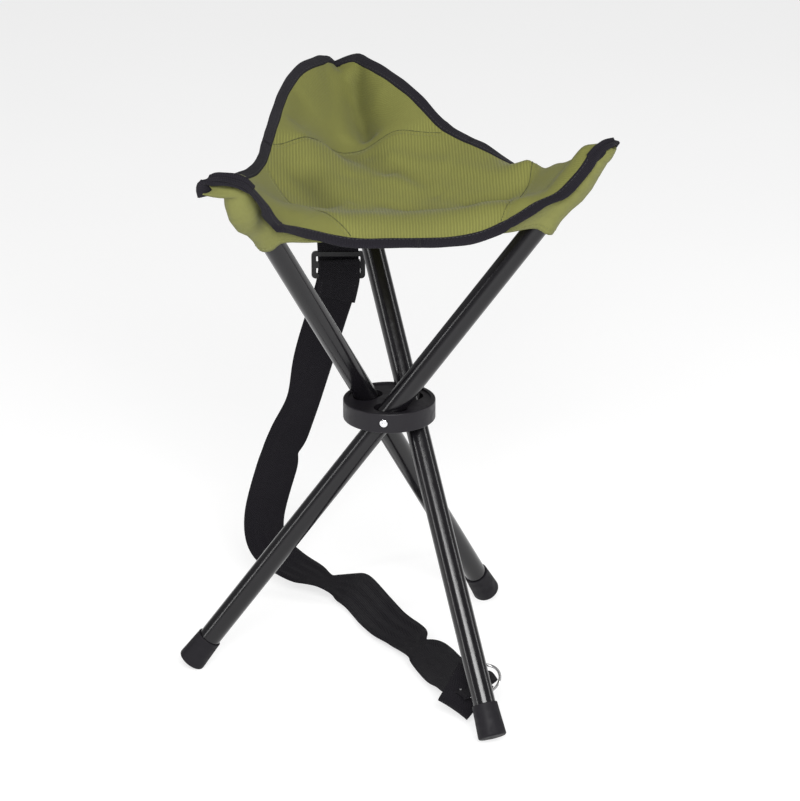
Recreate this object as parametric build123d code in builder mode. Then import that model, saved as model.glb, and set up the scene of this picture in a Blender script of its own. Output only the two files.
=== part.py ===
"""Folding three leg stool: three tubes crossing in a round hub, with a three-cornered fabric seat.

Millimetres, +Z up. The origin is on the hub's upright axis, at floor level. The back corner of
the seat is on +Y. Each leg turns on a radial screw in the hub, and is modelled standing open.
"""

import os
from math import atan2, cos, degrees, radians, sin

from build123d import *

# Legs
TUBE_OD = 20.0
TUBE_WALL = 1.0
LEG_TILT = 36.0
PIVOT_RADIUS = 21.0
LEG_NAMES = ("left", "right", "back")
LEG_ABOVE = 302.5
LEG_BELOW = 306.0

# Rubber feet
FOOT_LENGTH = 30.0
FOOT_TOE_RADIUS = 12.7
FOOT_COLLAR_RADIUS = 11.3
FOOT_SOLE = 5.0
FOOT_ROUNDING = 2.0
FOOT_FLAT_DEPTH = 0.7

# Plugs in the upper tube ends
PLUG_HEAD = 3.0
PLUG_DEPTH = 16.0

# Hub
HUB_RADIUS = 41.0
HUB_THICKNESS = 18.0
HUB_RIM = 4.0
HUB_RECESS = 1.2
SLOT_RADIUS = TUBE_OD / 2 + 0.6
SLOT_TRAVEL = 8.7

# Pivot screws
PIN_RADIUS = 2.0
PIN_CLEARANCE = 0.04
PIN_END_RADIUS = 6.0
SCREW_HEAD_RADIUS = 3.7
SCREW_HEAD_HEIGHT = 2.2
SCREW_SOCKET_RADIUS = 1.7

# Seat: the sling's height over the distance from the axis, and its outline
SEAT_PROFILE = ((0, 436), (45, 439), (98, 456), (130, 474), (154, 495.5), (172, 511.5), (192, 519), (216, 524))
SEAT_CORNERS = (210.0, 330.0, 90.0)
SEAT_TIP_RADIUS = 214.0
SEAT_EDGE_RADIUS = 98.0
PANEL_THICKNESS = 1.2
BINDING_WIDTH = 9.0
BINDING_THICKNESS = 3.0
CORNER_CUT_RADIUS = 196.0
TIP_THICKNESS = 5.0
POCKET_LENGTH = 90.0
POCKET_WALL = 1.2

# Carry strap
STRAP_WIDTH = 38.0
STRAP_THICKNESS = 1.8
SLIDER_CENTRE = Vector(9, 200.5, 320)
SLIDER_SIZE = (50.0, 26.0)
SLIDER_SIDE = Vector(0.96, -0.28, 0)
RING_CENTRE = Vector(47, -122, 35)
RING_SIDE = Vector(0.917, -0.27, 0.295)
RING_BACK = Vector(0.161, 0.925, 0.345)
RING_RADIUS = 18.5
RING_WIRE = 1.3

# The strap's middle line and, at each point, the direction of its width
ANCHOR_ROUTE = (
    ((3, 205.5, 514), (0.96, -0.28, 0)),
    ((4, 206, 450), (0.96, -0.28, 0)),
    ((7, 203.5, 385), (0.96, -0.28, 0)),
    ((9, 200.5, 334), (0.96, -0.28, 0)),
)
STRAP_ROUTE = (
    ((9.5, 201, 306), (0.95, -0.28, 0.14)),
    ((-2, 207, 267), (0.95, -0.28, 0.1)),
    ((-25, 210, 191), (0.95, -0.28, 0)),
    ((-41, 211, 147), (0.95, -0.28, -0.1)),
    ((-57, 212, 98), (0.95, -0.28, -0.1)),
    ((-65, 211, 66), (0.95, -0.2, -0.05)),
    ((-63, 206, 43), (0.88, 0.1, 0.2)),
    ((-48, 197, 29), (0.68, 0.6, 0.4)),
    ((-36, 188, 22), (0.67, 0.68, 0.28)),
    ((-24, 179, 18), (0.68, 0.7, 0.2)),
    ((-11, 170, 14), (0.6, 0.76, 0.1)),
    ((-1, 158, 14), (0.72, 0.6, 0.3)),
    ((7, 136, 17), (0.72, 0.25, 0.65)),
    ((10, 108, 16), (0.72, 0.25, 0.6)),
    ((12, 82, 15), (0.74, 0.35, 0.5)),
    ((18, 57, 12), (0.75, 0.45, 0.3)),
    ((27, 36, 11), (0.7, 0.6, 0.25)),
    ((33, 8, 12), (0.8, 0.35, 0.2)),
    ((34, -24, 14), (0.8, 0.3, 0.3)),
    ((33, -58, 19), (0.72, 0.3, 0.5)),
    ((34, -86, 22), (0.75, 0.1, 0.5)),
    ((39, -107, 28), (0.82, -0.1, 0.42)),
    ((44, -124, 34), (0.86, -0.25, 0.4)),
    ((44, -137, 33), (0.87, -0.25, 0.42)),
)
TAB_ROUTE = (
    ((44.5, -141.5, 29), (0.87, -0.25, 0.44)),
    ((45, -142.5, 22), (0.87, -0.25, 0.46)),
    ((45, -142, 12), (0.87, -0.25, 0.46)),
)

TILT_SIN = sin(radians(LEG_TILT))
TILT_COS = cos(radians(LEG_TILT))
# Each leg leans along the tangent at its pivot, so its tip is this far round from the pivot
TIP_LEAD = degrees(atan2(LEG_ABOVE * TILT_SIN, PIVOT_RADIUS))
PIVOT_AZIMUTHS = tuple(corner - TIP_LEAD for corner in SEAT_CORNERS)
SOLE_DROP = (FOOT_TOE_RADIUS - FOOT_ROUNDING) * TILT_SIN + FOOT_ROUNDING * (1 - TILT_COS)
HUB_HEIGHT = LEG_BELOW * TILT_COS + SOLE_DROP - FOOT_FLAT_DEPTH


def radial(azimuth):
    """The level unit vector that points away from the axis at an azimuth."""
    return Vector(cos(radians(azimuth)), sin(radians(azimuth)), 0)


def tangent(azimuth):
    """The level unit vector square to the radial one, counter-clockwise seen from above."""
    return Vector(-sin(radians(azimuth)), cos(radians(azimuth)), 0)


def leg_plane(azimuth):
    """The plane square to a leg at its pivot, with Z along the leg and X along its screw."""
    pivot = radial(azimuth) * PIVOT_RADIUS + Vector(0, 0, HUB_HEIGHT)
    along = Vector(0, 0, TILT_COS) + tangent(azimuth) * TILT_SIN
    return Plane(origin=pivot, x_dir=radial(azimuth), z_dir=along)


def screw_plane(azimuth, distance):
    """The plane square to a pivot screw, at a distance from the axis, facing outwards."""
    origin = radial(azimuth) * distance + Vector(0, 0, HUB_HEIGHT)
    return Plane(origin=origin, x_dir=tangent(azimuth), z_dir=radial(azimuth))


def save(part, name):
    """Label a finished part and write its STEP file."""
    part.label = name
    export_step(part, f"parts/{name}.step")


def hub():
    """The moulded hub, with three slots in which the legs swing and three bores for the screws."""
    half = HUB_THICKNESS / 2
    with BuildPart() as hub_body:
        with BuildSketch(Plane.XY.offset(HUB_HEIGHT - half)):
            Circle(HUB_RADIUS)
        extrude(amount=HUB_THICKNESS)
        outer = hub_body.edges().filter_by(GeomType.CIRCLE)
        fillet(outer, radius=1.2)
        with BuildSketch(Plane.XY.offset(HUB_HEIGHT + half)):
            Circle(HUB_RADIUS - HUB_RIM)
        extrude(amount=-HUB_RECESS, mode=Mode.SUBTRACT)
        for azimuth in PIVOT_AZIMUTHS:
            for end in (1, -1):
                centre = radial(azimuth) * PIVOT_RADIUS + tangent(azimuth) * (end * SLOT_TRAVEL / 2)
                level = Vector(0, 0, HUB_HEIGHT + end * half)
                with BuildSketch(Plane(origin=centre + level, x_dir=tangent(azimuth), z_dir=(0, 0, 1))):
                    SlotCenterToCenter(SLOT_TRAVEL, 2 * SLOT_RADIUS)
            loft(mode=Mode.SUBTRACT)
            with BuildSketch(screw_plane(azimuth, PIN_END_RADIUS - 1)):
                Circle(PIN_RADIUS + PIN_CLEARANCE)
            extrude(amount=HUB_RADIUS, mode=Mode.SUBTRACT)
            with BuildSketch(screw_plane(azimuth, HUB_RADIUS - SCREW_HEAD_HEIGHT)):
                Circle(SCREW_HEAD_RADIUS + 0.4)
            extrude(amount=HUB_RADIUS / 4, mode=Mode.SUBTRACT)
    return hub_body.part


def pivot_screw(azimuth):
    """A pan head screw with a six-sided socket, in from the hub's rim along a radius."""
    head_start = HUB_RADIUS - SCREW_HEAD_HEIGHT
    with BuildPart() as screw:
        with BuildSketch(screw_plane(azimuth, PIN_END_RADIUS)):
            Circle(PIN_RADIUS)
        extrude(amount=head_start - PIN_END_RADIUS)
        with BuildSketch(screw_plane(azimuth, head_start)):
            Circle(SCREW_HEAD_RADIUS)
        extrude(amount=SCREW_HEAD_HEIGHT)
        axis = Axis((0, 0, HUB_HEIGHT), radial(azimuth))
        fillet(screw.faces().sort_by(axis)[-1].outer_wire().edges(), radius=0.8)
        with BuildSketch(screw_plane(azimuth, HUB_RADIUS)):
            RegularPolygon(SCREW_SOCKET_RADIUS, 6)
        extrude(amount=-SCREW_HEAD_HEIGHT * 0.7, mode=Mode.SUBTRACT)
    return screw.part


def leg_tube(azimuth):
    """A steel tube, open at both ends, with a cross hole for its pivot screw."""
    bottom = FOOT_SOLE - LEG_BELOW
    top = LEG_ABOVE - PLUG_HEAD
    with BuildPart() as tube:
        with BuildSketch(leg_plane(azimuth).offset(bottom)):
            Circle(TUBE_OD / 2)
            Circle(TUBE_OD / 2 - TUBE_WALL, mode=Mode.SUBTRACT)
        extrude(amount=top - bottom)
        with BuildSketch(screw_plane(azimuth, PIVOT_RADIUS - TUBE_OD)):
            Circle(PIN_RADIUS + PIN_CLEARANCE)
        extrude(amount=2 * TUBE_OD, mode=Mode.SUBTRACT)
    return tube.part


def foot_cap(azimuth):
    """A rubber cap over a tube's lower end, with a rounded toe and a flat worn where it stands."""
    plane = leg_plane(azimuth)
    with BuildPart() as foot:
        with BuildSketch(plane.offset(-LEG_BELOW)):
            Circle(FOOT_TOE_RADIUS)
        with BuildSketch(plane.offset(FOOT_LENGTH - LEG_BELOW)):
            Circle(FOOT_COLLAR_RADIUS)
        loft()
        ends = foot.faces().filter_by(GeomType.PLANE).sort_by(Axis.Z)
        fillet(ends[0].edges(), radius=FOOT_ROUNDING)
        fillet(foot.faces().filter_by(GeomType.PLANE).sort_by(Axis.Z)[-1].edges(), radius=0.4)
        with BuildSketch(plane.offset(FOOT_SOLE - LEG_BELOW)):
            Circle(TUBE_OD / 2 + PIN_CLEARANCE)
        extrude(amount=FOOT_LENGTH, mode=Mode.SUBTRACT)
        split(bisect_by=Plane.XY, keep=Keep.TOP)
    return foot.part


def top_plug(azimuth):
    """A plastic plug with a rounded head that closes a tube's upper end inside the seat pocket."""
    plane = leg_plane(azimuth)
    with BuildPart() as plug:
        with BuildSketch(plane.offset(LEG_ABOVE - PLUG_HEAD)):
            Circle(TUBE_OD / 2)
        extrude(amount=PLUG_HEAD)
        head = plug.faces().filter_by(GeomType.PLANE).sort_by(Axis.Z)[-1]
        fillet(head.edges(), radius=PLUG_HEAD * 0.8)
        with BuildSketch(plane.offset(LEG_ABOVE - PLUG_HEAD)):
            Circle(TUBE_OD / 2 - TUBE_WALL - PIN_CLEARANCE)
        extrude(amount=-PLUG_DEPTH)
    return plug.part


def sling_shell(thickness):
    """A dish turned about the axis, as thick as asked, whose middle is the seat's own surface."""
    rise = thickness / 2
    with BuildPart() as dish:
        with BuildSketch(Plane.XZ):
            with BuildLine():
                upper = Spline([(r, z + rise) for r, z in SEAT_PROFILE], tangents=((1, 0), (1, 0.2)))
                lower = Spline([(r, z - rise) for r, z in SEAT_PROFILE], tangents=((1, 0), (1, 0.2)))
                Line(upper @ 0, lower @ 0)
                Line(upper @ 1, lower @ 1)
            make_face()
        revolve(axis=Axis.Z)
    return dish.part


def seat_outline(inset):
    """The seat's plan: three corners joined by edges that curve in, drawn in by an inset."""
    with BuildSketch() as outline:
        with BuildLine():
            for corner in SEAT_CORNERS:
                middle = radial(corner + 60) * (SEAT_EDGE_RADIUS - inset)
                tip = SEAT_TIP_RADIUS - 2 * inset
                ThreePointArc(radial(corner) * tip, middle, radial(corner + 120) * tip)
        make_face()
    return outline.sketch


def seat_panel():
    """The fabric sling inside its bindings."""
    with BuildPart() as panel:
        add(sling_shell(PANEL_THICKNESS))
        with BuildSketch(Plane.XY):
            add(seat_outline(BINDING_WIDTH))
            Circle(CORNER_CUT_RADIUS, mode=Mode.INTERSECT)
        extrude(amount=2 * HUB_HEIGHT + 100, mode=Mode.INTERSECT)
    return panel.part


def edge_binding(corner):
    """The tape folded over the seat's edge, from one corner to the next."""
    reach = 2 * SEAT_TIP_RADIUS
    with BuildPart() as binding:
        add(sling_shell(BINDING_THICKNESS))
        with BuildSketch(Plane.XY):
            add(seat_outline(0))
            Circle(CORNER_CUT_RADIUS, mode=Mode.INTERSECT)
            add(seat_outline(BINDING_WIDTH), mode=Mode.SUBTRACT)
            with BuildLine():
                Polyline((0, 0), radial(corner) * reach, radial(corner + 120) * reach, close=True)
            make_face(mode=Mode.INTERSECT)
        extrude(amount=2 * HUB_HEIGHT + 100, mode=Mode.INTERSECT)
    return binding.part


def tip_tape(corner):
    """The folded tape end that wraps a corner of the seat."""
    with BuildPart() as tape:
        add(sling_shell(TIP_THICKNESS))
        with BuildSketch(Plane.XY):
            add(seat_outline(0))
            with Locations(radial(corner) * (CORNER_CUT_RADIUS + SEAT_TIP_RADIUS / 2 + 0.5)):
                Rectangle(SEAT_TIP_RADIUS, SEAT_TIP_RADIUS, rotation=corner, mode=Mode.INTERSECT)
        extrude(amount=2 * HUB_HEIGHT + 100, mode=Mode.INTERSECT)
    return tape.part


def corner_pocket(azimuth):
    """The fabric pouch under a corner, in which the leg's upper end sits."""
    plane = leg_plane(azimuth)
    with BuildPart() as pocket:
        for wall, mode in ((0, Mode.ADD), (POCKET_WALL, Mode.SUBTRACT)):
            mouth = plane.offset(LEG_ABOVE - POCKET_LENGTH - wall)
            with BuildSketch(mouth):
                with Locations((0, -7)):
                    Ellipse(24 - wall, 21 - wall)
            with BuildSketch(plane.offset(LEG_ABOVE + 2.5 - wall)):
                Circle(TUBE_OD / 2 + 1.8 - wall)
            loft(mode=mode)
    return pocket.part


def webbing(route):
    """A flat woven band through a route of points, each with the direction of its width."""
    points = [Vector(*point) for point, _ in route]
    with BuildPart() as band:
        for index, (_, width) in enumerate(route):
            before = points[max(index - 1, 0)]
            after = points[min(index + 1, len(points) - 1)]
            along = (after - before).normalized()
            across = Vector(*width)
            across = (across - along * across.dot(along)).normalized()
            with BuildSketch(Plane(origin=points[index], x_dir=across, z_dir=along)):
                Rectangle(STRAP_WIDTH, STRAP_THICKNESS)
        loft(ruled=True)
    return band.part


def strap_slider():
    """The three-bar plastic slider that sets the strap's length."""
    plane = Plane(origin=SLIDER_CENTRE, x_dir=SLIDER_SIDE, z_dir=SLIDER_SIDE.cross(Vector(0, 0, 1)))
    width, height = SLIDER_SIZE
    with BuildPart() as slider:
        with BuildSketch(plane.offset(-2)):
            RectangleRounded(width, height, 4)
            with GridLocations(0, height / 2 - 1.5, 1, 2):
                Rectangle(STRAP_WIDTH + 3, 6, mode=Mode.SUBTRACT)
        extrude(amount=4)
        fillet(slider.edges().filter_by(Axis(SLIDER_CENTRE, plane.z_dir)), radius=0.8)
    return slider.part


def strap_ring():
    """The round wire ring that the strap's lower end is folded over."""
    facing = RING_SIDE.cross(RING_BACK)
    section = Plane(origin=RING_CENTRE, x_dir=RING_SIDE, z_dir=facing.cross(RING_SIDE))
    with BuildPart() as ring:
        with BuildSketch(section):
            with Locations((RING_RADIUS, 0)):
                Circle(RING_WIRE)
        revolve(axis=Axis(RING_CENTRE, facing))
    return ring.part


def main():
    """Build every piece and write it."""
    os.makedirs("parts", exist_ok=True)
    save(hub(), "hub_body")
    save(seat_panel(), "seat_panel")
    for name, azimuth, corner in zip(LEG_NAMES, PIVOT_AZIMUTHS, SEAT_CORNERS):
        save(pivot_screw(azimuth), f"pivot_screw_{name}")
        save(leg_tube(azimuth), f"leg_tube_{name}")
        save(foot_cap(azimuth), f"foot_cap_{name}")
        save(top_plug(azimuth), f"top_plug_{name}")
        save(corner_pocket(azimuth), f"corner_pocket_{name}")
        save(tip_tape(corner), f"tip_tape_{name}")
    for name, corner in zip(("front", "right", "left"), SEAT_CORNERS):
        save(edge_binding(corner), f"edge_binding_{name}")
    save(webbing(ANCHOR_ROUTE), "strap_anchor_tab")
    save(webbing(STRAP_ROUTE), "strap_webbing")
    save(webbing(TAB_ROUTE), "strap_end_tab")
    save(strap_slider(), "strap_slider")
    save(strap_ring(), "strap_ring")


main()
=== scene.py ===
"""Folding three leg stool: the finished look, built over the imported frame.

Metres, +Z up, in the frame's own place. The front of the seat faces -Y.
"""

import logging
from dataclasses import dataclass, field
from enum import Enum
from math import cos, pi, radians, sin

import bpy
import numpy as np
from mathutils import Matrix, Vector


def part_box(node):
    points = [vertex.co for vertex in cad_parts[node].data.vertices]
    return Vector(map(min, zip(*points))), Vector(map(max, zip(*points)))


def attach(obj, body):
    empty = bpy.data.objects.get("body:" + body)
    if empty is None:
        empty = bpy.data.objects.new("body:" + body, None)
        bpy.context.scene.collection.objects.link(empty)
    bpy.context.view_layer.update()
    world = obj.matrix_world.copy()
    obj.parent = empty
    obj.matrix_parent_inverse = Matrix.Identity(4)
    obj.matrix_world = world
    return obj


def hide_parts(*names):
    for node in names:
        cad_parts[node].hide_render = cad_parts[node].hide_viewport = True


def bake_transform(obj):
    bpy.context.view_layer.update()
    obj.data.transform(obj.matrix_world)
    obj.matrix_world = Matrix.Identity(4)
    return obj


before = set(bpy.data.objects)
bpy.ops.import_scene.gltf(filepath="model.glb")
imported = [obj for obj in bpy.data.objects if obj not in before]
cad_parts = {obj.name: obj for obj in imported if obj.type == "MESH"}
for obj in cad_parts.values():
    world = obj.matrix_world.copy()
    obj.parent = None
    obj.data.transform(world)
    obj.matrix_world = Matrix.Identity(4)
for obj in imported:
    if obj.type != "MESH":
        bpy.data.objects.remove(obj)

LOG = logging.getLogger("stool")
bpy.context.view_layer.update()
MM = 0.001

Point = tuple[float, float, float]


class Corner(Enum):
    """A corner of the seat, with its azimuth from +X in degrees."""

    LEFT = 210.0
    RIGHT = 330.0
    BACK = 90.0

    @property
    def label(self) -> str:
        """The corner's name as the frame writes it."""
        return self.name.lower()

    @property
    def outward(self) -> Vector:
        """The level direction from the hub to this corner."""
        return Vector((cos(radians(self.value)), sin(radians(self.value)), 0))


# ---------------------------------------------------------------- finishes


class NodeSheet:
    """A node material while it is being drawn up."""

    def __init__(self, name: str) -> None:
        """Start a material with one principled shader.

        Args:
            name: The material's name.
        """
        self.material = bpy.data.materials.new(name)
        self.material.use_nodes = True
        self.tree = self.material.node_tree
        self.shader = self.tree.nodes["Principled BSDF"]

    def add(self, kind: str, settings: dict | None = None, **inputs: object) -> bpy.types.Node:
        """Add a node and fill its inputs.

        Args:
            kind: The node's type.
            settings: Values of the node's own properties.
            **inputs: Input values or output sockets, by input name with _ for a space.

        Returns:
            The new node.
        """
        node = self.tree.nodes.new(kind)
        for key, value in (settings or {}).items():
            setattr(node, key, value)
        for key, value in inputs.items():
            self.feed(node.inputs[key.replace("_", " ")], value)
        return node

    def feed(self, socket: bpy.types.NodeSocket, value: object) -> None:
        """Link an output to a socket, or set the socket's value."""
        if isinstance(value, bpy.types.NodeSocket):
            self.tree.links.new(value, socket)
        else:
            socket.default_value = value

    def math(self, operation: str, a: object, b: object = 0.0) -> bpy.types.NodeSocket:
        """Work out one sum of two values.

        Args:
            operation: The math node's operation.
            a: First value or socket.
            b: Second value or socket.

        Returns:
            The result's socket.
        """
        node = self.tree.nodes.new("ShaderNodeMath")
        node.operation = operation
        self.feed(node.inputs[0], a)
        self.feed(node.inputs[1], b)
        return node.outputs[0]

    def blend(self, factor: object, a: object, b: object) -> bpy.types.NodeSocket:
        """Mix two colours.

        Args:
            factor: Share of the second colour.
            a: First colour or socket.
            b: Second colour or socket.

        Returns:
            The mixed colour's socket.
        """
        node = self.tree.nodes.new("ShaderNodeMix")
        node.data_type = "RGBA"
        self.feed(node.inputs["Factor"], factor)
        self.feed(node.inputs[6], a)
        self.feed(node.inputs[7], b)
        return node.outputs[2]

    def noise(self, where: bpy.types.NodeSocket, scale: float, detail: float = 3.0) -> bpy.types.NodeSocket:
        """Lay noise over a set of coordinates.

        Args:
            where: Coordinates.
            scale: Cells a metre.
            detail: Octaves.

        Returns:
            The noise value's socket.
        """
        node = self.add("ShaderNodeTexNoise", Vector=where, Scale=scale, Detail=detail)
        return node.outputs[0]

    def stripes(self, across: bpy.types.NodeSocket, pitch: float) -> bpy.types.NodeSocket:
        """Draw even stripes from 0 to 1 over a length.

        Args:
            across: Distance in metres, across the stripes.
            pitch: Width of one stripe in metres.

        Returns:
            The stripe value's socket.
        """
        wave = self.math("SINE", self.math("MULTIPLY", across, 2 * pi / pitch))
        return self.math("MULTIPLY_ADD", wave, 0.5)

    def finish(self, height: bpy.types.NodeSocket, depth: float) -> bpy.types.Material:
        """Give the shader its bump and hand over the material.

        Args:
            height: Height value, from 0 to 1.
            depth: Depth of the relief in metres.

        Returns:
            The material.
        """
        bump = self.add("ShaderNodeBump", Strength=1.0, Distance=depth, Height=height)
        self.feed(self.shader.inputs["Normal"], bump.outputs[0])
        return self.material


def tint(colour: Point, gain: float) -> tuple[float, float, float, float]:
    """Lighten or darken a colour by a factor."""
    return (colour[0] * gain, colour[1] * gain, colour[2] * gain, 1.0)


@dataclass(frozen=True)
class MouldedFinish:
    """A smooth or grained solid finish: paint, plastic, rubber or metal."""

    name: str
    colour: Point
    roughness: float
    metallic: float = 0.0
    coat: float = 0.0
    grain_scale: float = 900.0
    grain_depth: float = 0.00003
    wear: float = 0.25
    specular: float = 0.3

    def make(self) -> bpy.types.Material:
        """Build the node material.

        Returns:
            The material.
        """
        sheet = NodeSheet(self.name)
        place = sheet.add("ShaderNodeTexCoord").outputs["Object"]
        cloud = sheet.noise(place, 26.0, 5.0)
        fine = sheet.noise(place, self.grain_scale, 2.0)
        scuff = sheet.noise(place, 160.0, 6.0)
        shade = sheet.blend(cloud, tint(self.colour, 1 - self.wear), tint(self.colour, 1 + self.wear))
        sheet.feed(sheet.shader.inputs["Base Color"], shade)
        sheet.shader.inputs["Metallic"].default_value = self.metallic
        sheet.shader.inputs["Specular IOR Level"].default_value = self.specular
        sheet.shader.inputs["Coat Weight"].default_value = self.coat
        sheet.shader.inputs["Coat Roughness"].default_value = 0.12
        spread = sheet.add(
            "ShaderNodeMapRange", Value=scuff, From_Min=0.35, From_Max=0.75,
            To_Min=self.roughness * 0.85, To_Max=min(1.0, self.roughness * 1.25),
        )
        sheet.feed(sheet.shader.inputs["Roughness"], spread.outputs[0])
        return sheet.finish(fine, self.grain_depth)


@dataclass(frozen=True)
class SeatCloth:
    """Ribbed polyester: fine cords one way, a thin weft the other, and smoother twill at the corners; its
    colour is darkened by painted shade in the cloth's folds.
    """

    name: str
    colour: Point
    rib_pitch: float = 0.0027
    weft_pitch: float = 0.0011
    relief: float = 0.00035

    def make(self) -> bpy.types.Material:
        """Build the node material.

        Returns:
            The material.
        """
        sheet = NodeSheet(self.name)
        cloth = sheet.add("ShaderNodeUVMap", {"uv_map": "cloth"}).outputs[0]
        split = sheet.add("ShaderNodeSeparateXYZ", Vector=cloth)
        across, along = split.outputs[0], split.outputs[1]
        place = sheet.add("ShaderNodeTexCoord").outputs["Object"]
        stray = sheet.noise(place, 90.0, 2.0)
        wander = sheet.math("MULTIPLY_ADD", stray, 0.0012)
        sheet.feed(wander.node.inputs[2], across)
        rib = sheet.stripes(wander, self.rib_pitch)
        weft = sheet.stripes(along, self.weft_pitch)
        diagonal = sheet.stripes(sheet.math("ADD", across, along), 0.0016)
        corner = sheet.add("ShaderNodeAttribute", {"attribute_name": "corner"}).outputs["Fac"]
        weave = sheet.add("ShaderNodeMix", Factor=corner)
        sheet.feed(weave.inputs[2], rib)
        sheet.feed(weave.inputs[3], sheet.math("MULTIPLY", diagonal, 0.35))
        patch = sheet.noise(place, 22.0, 4.0)
        slub = sheet.noise(place, 420.0, 3.0)
        low = sheet.blend(weave.outputs[0], tint(self.colour, 0.66), tint(self.colour, 1.16))
        high = sheet.blend(patch, tint(self.colour, 0.84), tint(self.colour, 1.12))
        mixed = sheet.blend(0.35, low, high)
        flecked = sheet.blend(sheet.math("MULTIPLY", slub, 0.22), mixed, tint(self.colour, 1.5))
        # painted shade: a per-point attribute mixes the colour towards a dark tint where the cloth's folds
        # and dents lie
        painted_shade = sheet.add("ShaderNodeAttribute", {"attribute_name": "painted_shade"}).outputs["Fac"]
        sheet.feed(sheet.shader.inputs["Base Color"], sheet.blend(painted_shade, flecked, tint(self.colour, 0.22)))
        sheet.shader.inputs["Roughness"].default_value = 0.78
        sheet.shader.inputs["Sheen Weight"].default_value = 0.06
        sheet.shader.inputs["Sheen Roughness"].default_value = 0.4
        sheet.shader.inputs["Specular IOR Level"].default_value = 0.3
        relief = sheet.math("ADD", weave.outputs[0], sheet.math("MULTIPLY", weft, 0.25))
        relief = sheet.math("ADD", relief, sheet.math("MULTIPLY", slub, 0.5))
        return sheet.finish(relief, self.relief)


@dataclass(frozen=True)
class WovenTape:
    """Black woven tape or webbing: cross ribs, with a chevron where it is wide."""

    name: str
    colour: Point
    rib_pitch: float = 0.0014
    chevron: float = 0.0
    relief: float = 0.0004
    roughness: float = 0.72

    def make(self) -> bpy.types.Material:
        """Build the node material.

        Returns:
            The material.
        """
        sheet = NodeSheet(self.name)
        cloth = sheet.add("ShaderNodeUVMap", {"uv_map": "cloth"}).outputs[0]
        split = sheet.add("ShaderNodeSeparateXYZ", Vector=cloth)
        along, across = split.outputs[0], split.outputs[1]
        zigzag = sheet.math("PINGPONG", across, 0.0048)
        slant = sheet.math("MULTIPLY_ADD", zigzag, self.chevron)
        sheet.feed(slant.node.inputs[2], along)
        rib = sheet.stripes(slant, self.rib_pitch)
        warp = sheet.stripes(across, 0.0016)
        place = sheet.add("ShaderNodeTexCoord").outputs["Object"]
        lint = sheet.noise(place, 700.0, 2.0)
        patch = sheet.noise(place, 30.0, 3.0)
        dark = sheet.blend(rib, tint(self.colour, 0.62), tint(self.colour, 1.35))
        worn = sheet.blend(sheet.math("MULTIPLY", patch, 0.4), dark, tint(self.colour, 1.5))
        sheet.feed(sheet.shader.inputs["Base Color"], worn)
        sheet.shader.inputs["Roughness"].default_value = self.roughness
        sheet.shader.inputs["Sheen Weight"].default_value = 0.03
        sheet.shader.inputs["Specular IOR Level"].default_value = 0.12
        relief = sheet.math("ADD", rib, sheet.math("MULTIPLY", warp, 0.4))
        relief = sheet.math("ADD", relief, sheet.math("MULTIPLY", lint, 0.5))
        return sheet.finish(relief, self.relief)


@dataclass
class Finishes:
    """Every finish of the stool, made once."""

    seat: SeatCloth = SeatCloth("seat ribbed cloth", (0.150, 0.152, 0.036))
    pouch: SeatCloth = SeatCloth("pouch plain cloth", (0.165, 0.168, 0.048), rib_pitch=0.0018)
    tape: WovenTape = WovenTape("binding tape", (0.0088, 0.0078, 0.0112))
    strap: WovenTape = WovenTape(
        "strap webbing", (0.0052, 0.0045, 0.0066), rib_pitch=0.0021, chevron=1.0, relief=0.0006,
    )
    tube: MouldedFinish = MouldedFinish(
        "leg paint", (0.0045, 0.0041, 0.0052), 0.2, coat=0.12, grain_depth=0.00001, specular=0.34,
    )
    hub: MouldedFinish = MouldedFinish(
        "hub plastic", (0.0095, 0.0085, 0.0108), 0.42, grain_scale=1500.0, specular=0.24,
    )
    rubber: MouldedFinish = MouldedFinish(
        "foot rubber", (0.0078, 0.007, 0.0092), 0.6, grain_scale=1200.0, specular=0.18,
    )
    plug: MouldedFinish = MouldedFinish("plug plastic", (0.02, 0.02, 0.022), 0.5)
    slider: MouldedFinish = MouldedFinish("slider plastic", (0.012, 0.012, 0.013), 0.34)
    screw: MouldedFinish = MouldedFinish("screw steel", (0.72, 0.72, 0.74), 0.26, metallic=1.0, wear=0.08)
    ring: MouldedFinish = MouldedFinish("ring steel", (0.78, 0.78, 0.79), 0.16, metallic=1.0, wear=0.08)
    # painted shadow: this dark thread's stitch row stands in for the shadow along the pocket seam's fold
    dark_thread: MouldedFinish = MouldedFinish("seam shadow thread", (0.045, 0.048, 0.018), 0.7)
    olive_thread: MouldedFinish = MouldedFinish("olive thread", (0.16, 0.165, 0.06), 0.7)
    black_thread: MouldedFinish = MouldedFinish("black thread", (0.03, 0.029, 0.033), 0.6)
    made: dict[str, bpy.types.Material] = field(default_factory=dict)

    def get(self, name: str) -> bpy.types.Material:
        """Fetch a finish's material, making it the first time.

        Args:
            name: The finish's field name.

        Returns:
            The material.
        """
        if name not in self.made:
            self.made[name] = getattr(self, name).make()
        return self.made[name]

    def dress(self, node: str, name: str) -> None:
        """Give a CAD node a finish in every slot it has.

        Args:
            node: The node's name in the frame.
            name: The finish's field name.
        """
        piece = bpy.data.objects[node]
        if not piece.material_slots:
            piece.data.materials.append(self.get(name))
        for place in piece.material_slots:
            place.material = self.get(name)


# ---------------------------------------------------------------- shape helpers


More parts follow.
